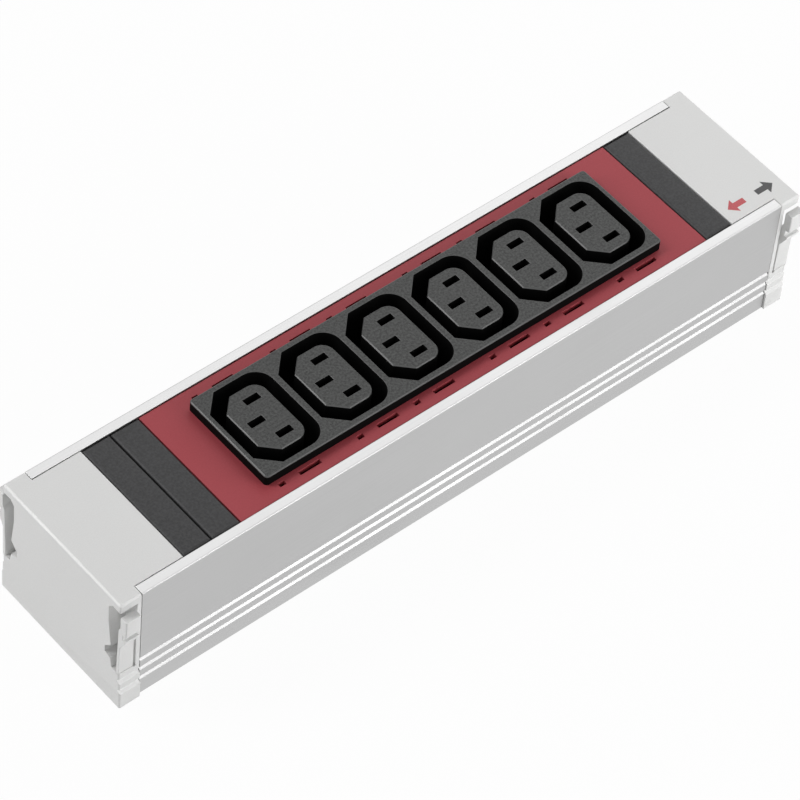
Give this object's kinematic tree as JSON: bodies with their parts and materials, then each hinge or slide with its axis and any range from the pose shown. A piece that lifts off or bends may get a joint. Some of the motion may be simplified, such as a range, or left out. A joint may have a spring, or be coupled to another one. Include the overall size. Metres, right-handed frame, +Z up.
{
  "type": "rack power distribution module",
  "caption": "Plug-in rack power module: silver extruded housing with a row of recessed appliance outlets on a red plate, blank strips, light grey end caps and press-in corner latches.",
  "frame": {"origin": "centre of the whole object's box, at the flat underside", "axes": "+X along the module to the end with the single blank strip, +Y to the far long side, +Z up out of the outlets"},
  "size_m": [0.244, 0.0564, 0.0476],
  "materials": {
    "anodised_aluminium": "fine matt silver anodised",
    "light_grey_plastic": "fine satin moulded",
    "red_plastic": "satin moulded",
    "dark_grey_plastic": "fine grained",
    "black_plastic": "fine grained",
    "contact_brass": "stamped",
    "zinc_plated_steel": "zinc plated"
  },
  "bodies": {
    "housing": {"housing_profile": "anodised_aluminium", "end_cap_left": "light_grey_plastic", "end_cap_right": "light_grey_plastic", "socket_plate": "red_plastic", "blank_strip_left_1": "dark_grey_plastic", "blank_strip_left_2": "dark_grey_plastic", "blank_strip_right_1": "dark_grey_plastic", "outlet_frame": "black_plastic", "socket_core_1": "black_plastic", "socket_core_2": "black_plastic", "socket_core_3": "black_plastic", "socket_core_4": "black_plastic", "socket_core_5": "black_plastic", "socket_core_6": "black_plastic", "outlet_base": "black_plastic", "rear_plug_body": "black_plastic", "line_contacts": "contact_brass", "neutral_contacts": "contact_brass", "earth_contacts": "contact_brass", "line_bar": "contact_brass", "neutral_bar": "contact_brass", "earth_bar": "contact_brass", "line_riser": "contact_brass", "neutral_riser": "contact_brass", "earth_riser": "contact_brass", "rear_plug_blades": "contact_brass", "earth_strap": "contact_brass", "cap_screws": "zinc_plated_steel", "plug_screws": "zinc_plated_steel", "earth_screw": "zinc_plated_steel"},
    "latch_left_front": {"latch_left_front": "light_grey_plastic"},
    "latch_left_back": {"latch_left_back": "light_grey_plastic"},
    "latch_right_front": {"latch_right_front": "light_grey_plastic"},
    "latch_right_back": {"latch_right_back": "light_grey_plastic"}
  },
  "joints": [
    {"name": "latch_left_front_press", "type": "hinge", "parent": "housing", "child": "latch_left_front", "pos_m": [-0.11958, -0.02485, 0.0147], "axis": [-1, 0, 0], "range_deg": [0, 8], "stiffness_Nm_per_rad": 0.5},
    {"name": "latch_left_back_press", "type": "hinge", "parent": "housing", "child": "latch_left_back", "pos_m": [-0.11958, 0.02485, 0.0147], "axis": [1, 0, 0], "range_deg": [0, 8], "stiffness_Nm_per_rad": 0.5},
    {"name": "latch_right_front_press", "type": "hinge", "parent": "housing", "child": "latch_right_front", "pos_m": [0.11958, -0.02485, 0.0147], "axis": [-1, 0, 0], "range_deg": [0, 8], "stiffness_Nm_per_rad": 0.5},
    {"name": "latch_right_back_press", "type": "hinge", "parent": "housing", "child": "latch_right_back", "pos_m": [0.11958, 0.02485, 0.0147], "axis": [1, 0, 0], "range_deg": [0, 8], "stiffness_Nm_per_rad": 0.5}
  ]
}
